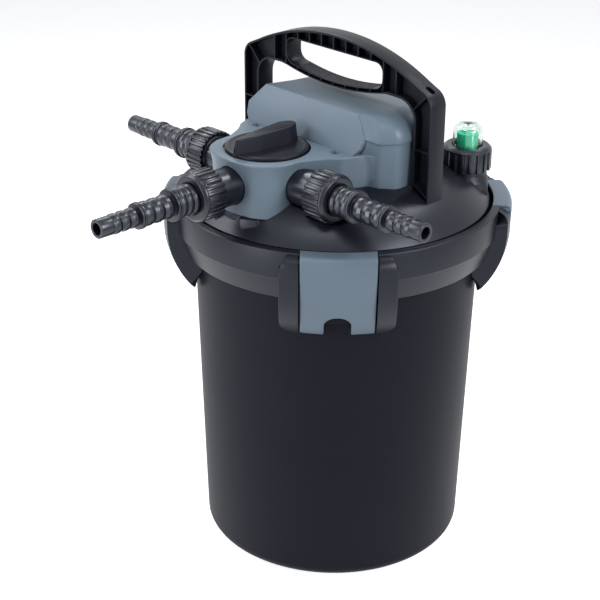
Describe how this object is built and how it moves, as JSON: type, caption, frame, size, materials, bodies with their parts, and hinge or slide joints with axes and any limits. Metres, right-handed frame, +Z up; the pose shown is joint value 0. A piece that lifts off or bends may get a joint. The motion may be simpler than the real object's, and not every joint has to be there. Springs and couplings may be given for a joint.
{
  "type": "canister filter",
  "caption": "Pressurised pond canister filter: tapered drum, domed lid on a clamp ring with latches, valve head with stepped hose tails, carrying handle, flow indicator and built-in lamp.",
  "frame": {"origin": "centre of the drum's base, on the floor", "axes": "+Z up, X along the carrying handle, -Y towards the valve head's front hose tail"},
  "size_m": [0.454, 0.5215, 0.604],
  "materials": {
    "drum_plastic": "satin moulded polypropylene",
    "lid_plastic": "satin moulded polypropylene",
    "ring_plastic": "satin moulded plastic",
    "cover_plastic": "satin blue-grey plastic",
    "handle_plastic": "matt moulded plastic",
    "knob_plastic": "satin moulded plastic",
    "fitting_plastic": "glossy moulded plastic",
    "rotor_plastic": "moulded acetal",
    "clear_dome": "clear moulded plastic",
    "float_plastic": "satin moulded plastic",
    "seal_rubber": "moulded rubber",
    "pin_steel": "ground stainless steel",
    "screw_steel": "stainless steel",
    "ballast_plastic": "potted casing",
    "quartz": "clear fused quartz",
    "lamp_glass": "lamp glass",
    "inner_plastic": "moulded plastic",
    "filter_foam": "open-cell foam"
  },
  "bodies": {
    "housing": {"bucket": "drum_plastic", "drum_catches": "drum_plastic", "lid_seal": "seal_rubber", "lid": "lid_plastic", "clamp_ring": "ring_plastic", "latch_pins": "pin_steel", "valve_body": "fitting_plastic", "valve_cap": "fitting_plastic", "spindle_seal": "seal_rubber", "head_cover": "cover_plastic", "cover_screws": "screw_steel", "hose_tail_right": "fitting_plastic", "hose_tail_front": "fitting_plastic", "hose_tail_left": "fitting_plastic", "tail_gaskets": "seal_rubber", "handle": "handle_plastic", "handle_screws": "screw_steel", "indicator_base": "fitting_plastic", "indicator_gasket": "seal_rubber", "indicator_dome": "clear_dome", "cable_gland": "fitting_plastic", "gland_nut": "fitting_plastic", "lamp_ballast": "ballast_plastic", "lamp_holder": "fitting_plastic", "holder_seal": "seal_rubber", "quartz_sleeve": "quartz", "uv_lamp": "lamp_glass", "riser_tube": "inner_plastic", "bottom_grid": "inner_plastic", "foam_1": "filter_foam", "foam_2": "filter_foam", "foam_3": "filter_foam", "foam_4": "filter_foam", "top_grid": "inner_plastic", "bio_balls": "inner_plastic"},
    "latch_front": {"latch_front": "cover_plastic"},
    "latch_right": {"latch_right": "cover_plastic"},
    "latch_back": {"latch_back": "cover_plastic"},
    "latch_left": {"latch_left": "cover_plastic"},
    "selector": {"selector_knob": "knob_plastic", "valve_rotor": "rotor_plastic"},
    "nut_right": {"union_nut_right": "fitting_plastic"},
    "nut_front": {"union_nut_front": "fitting_plastic"},
    "nut_left": {"union_nut_left": "fitting_plastic"},
    "indicator_nut": {"indicator_nut": "fitting_plastic"},
    "float": {"indicator_float": "float_plastic"}
  },
  "joints": [
    {"name": "latch_front_hinge", "type": "hinge", "parent": "housing", "child": "latch_front", "pos_m": [0.13046, -0.13046, 0.414], "axis": [-0.7071, -0.7071, 0], "range_deg": [0, 105]},
    {"name": "latch_right_hinge", "type": "hinge", "parent": "housing", "child": "latch_right", "pos_m": [0.13046, 0.13046, 0.414], "axis": [0.7071, -0.7071, 0], "range_deg": [0, 105]},
    {"name": "latch_back_hinge", "type": "hinge", "parent": "housing", "child": "latch_back", "pos_m": [-0.13046, 0.13046, 0.414], "axis": [0.7071, 0.7071, 0], "range_deg": [0, 105]},
    {"name": "latch_left_hinge", "type": "hinge", "parent": "housing", "child": "latch_left", "pos_m": [-0.13046, -0.13046, 0.414], "axis": [-0.7071, 0.7071, 0], "range_deg": [0, 105]},
    {"name": "selector_turn", "type": "hinge", "parent": "housing", "child": "selector", "pos_m": [0, -0.109, 0.49], "axis": [0, 0, 1], "range_deg": [-90, 90]},
    {"name": "nut_right_spin", "type": "hinge", "parent": "housing", "child": "nut_right", "pos_m": [0, -0.109, 0.4705], "axis": [1, 0, 0], "continuous": true},
    {"name": "nut_front_spin", "type": "hinge", "parent": "housing", "child": "nut_front", "pos_m": [0, -0.109, 0.4705], "axis": [0, -1, 0], "continuous": true},
    {"name": "nut_left_spin", "type": "hinge", "parent": "housing", "child": "nut_left", "pos_m": [0, -0.109, 0.4705], "axis": [-1, 0, 0], "continuous": true},
    {"name": "indicator_nut_spin", "type": "hinge", "parent": "housing", "child": "indicator_nut", "pos_m": [0.102, 0.102, 0.465], "axis": [0, 0, 1], "continuous": true},
    {"name": "float_rise", "type": "slide", "parent": "housing", "child": "float", "axis": [0, 0, 1], "range_m": [0, 0.005]}
  ]
}
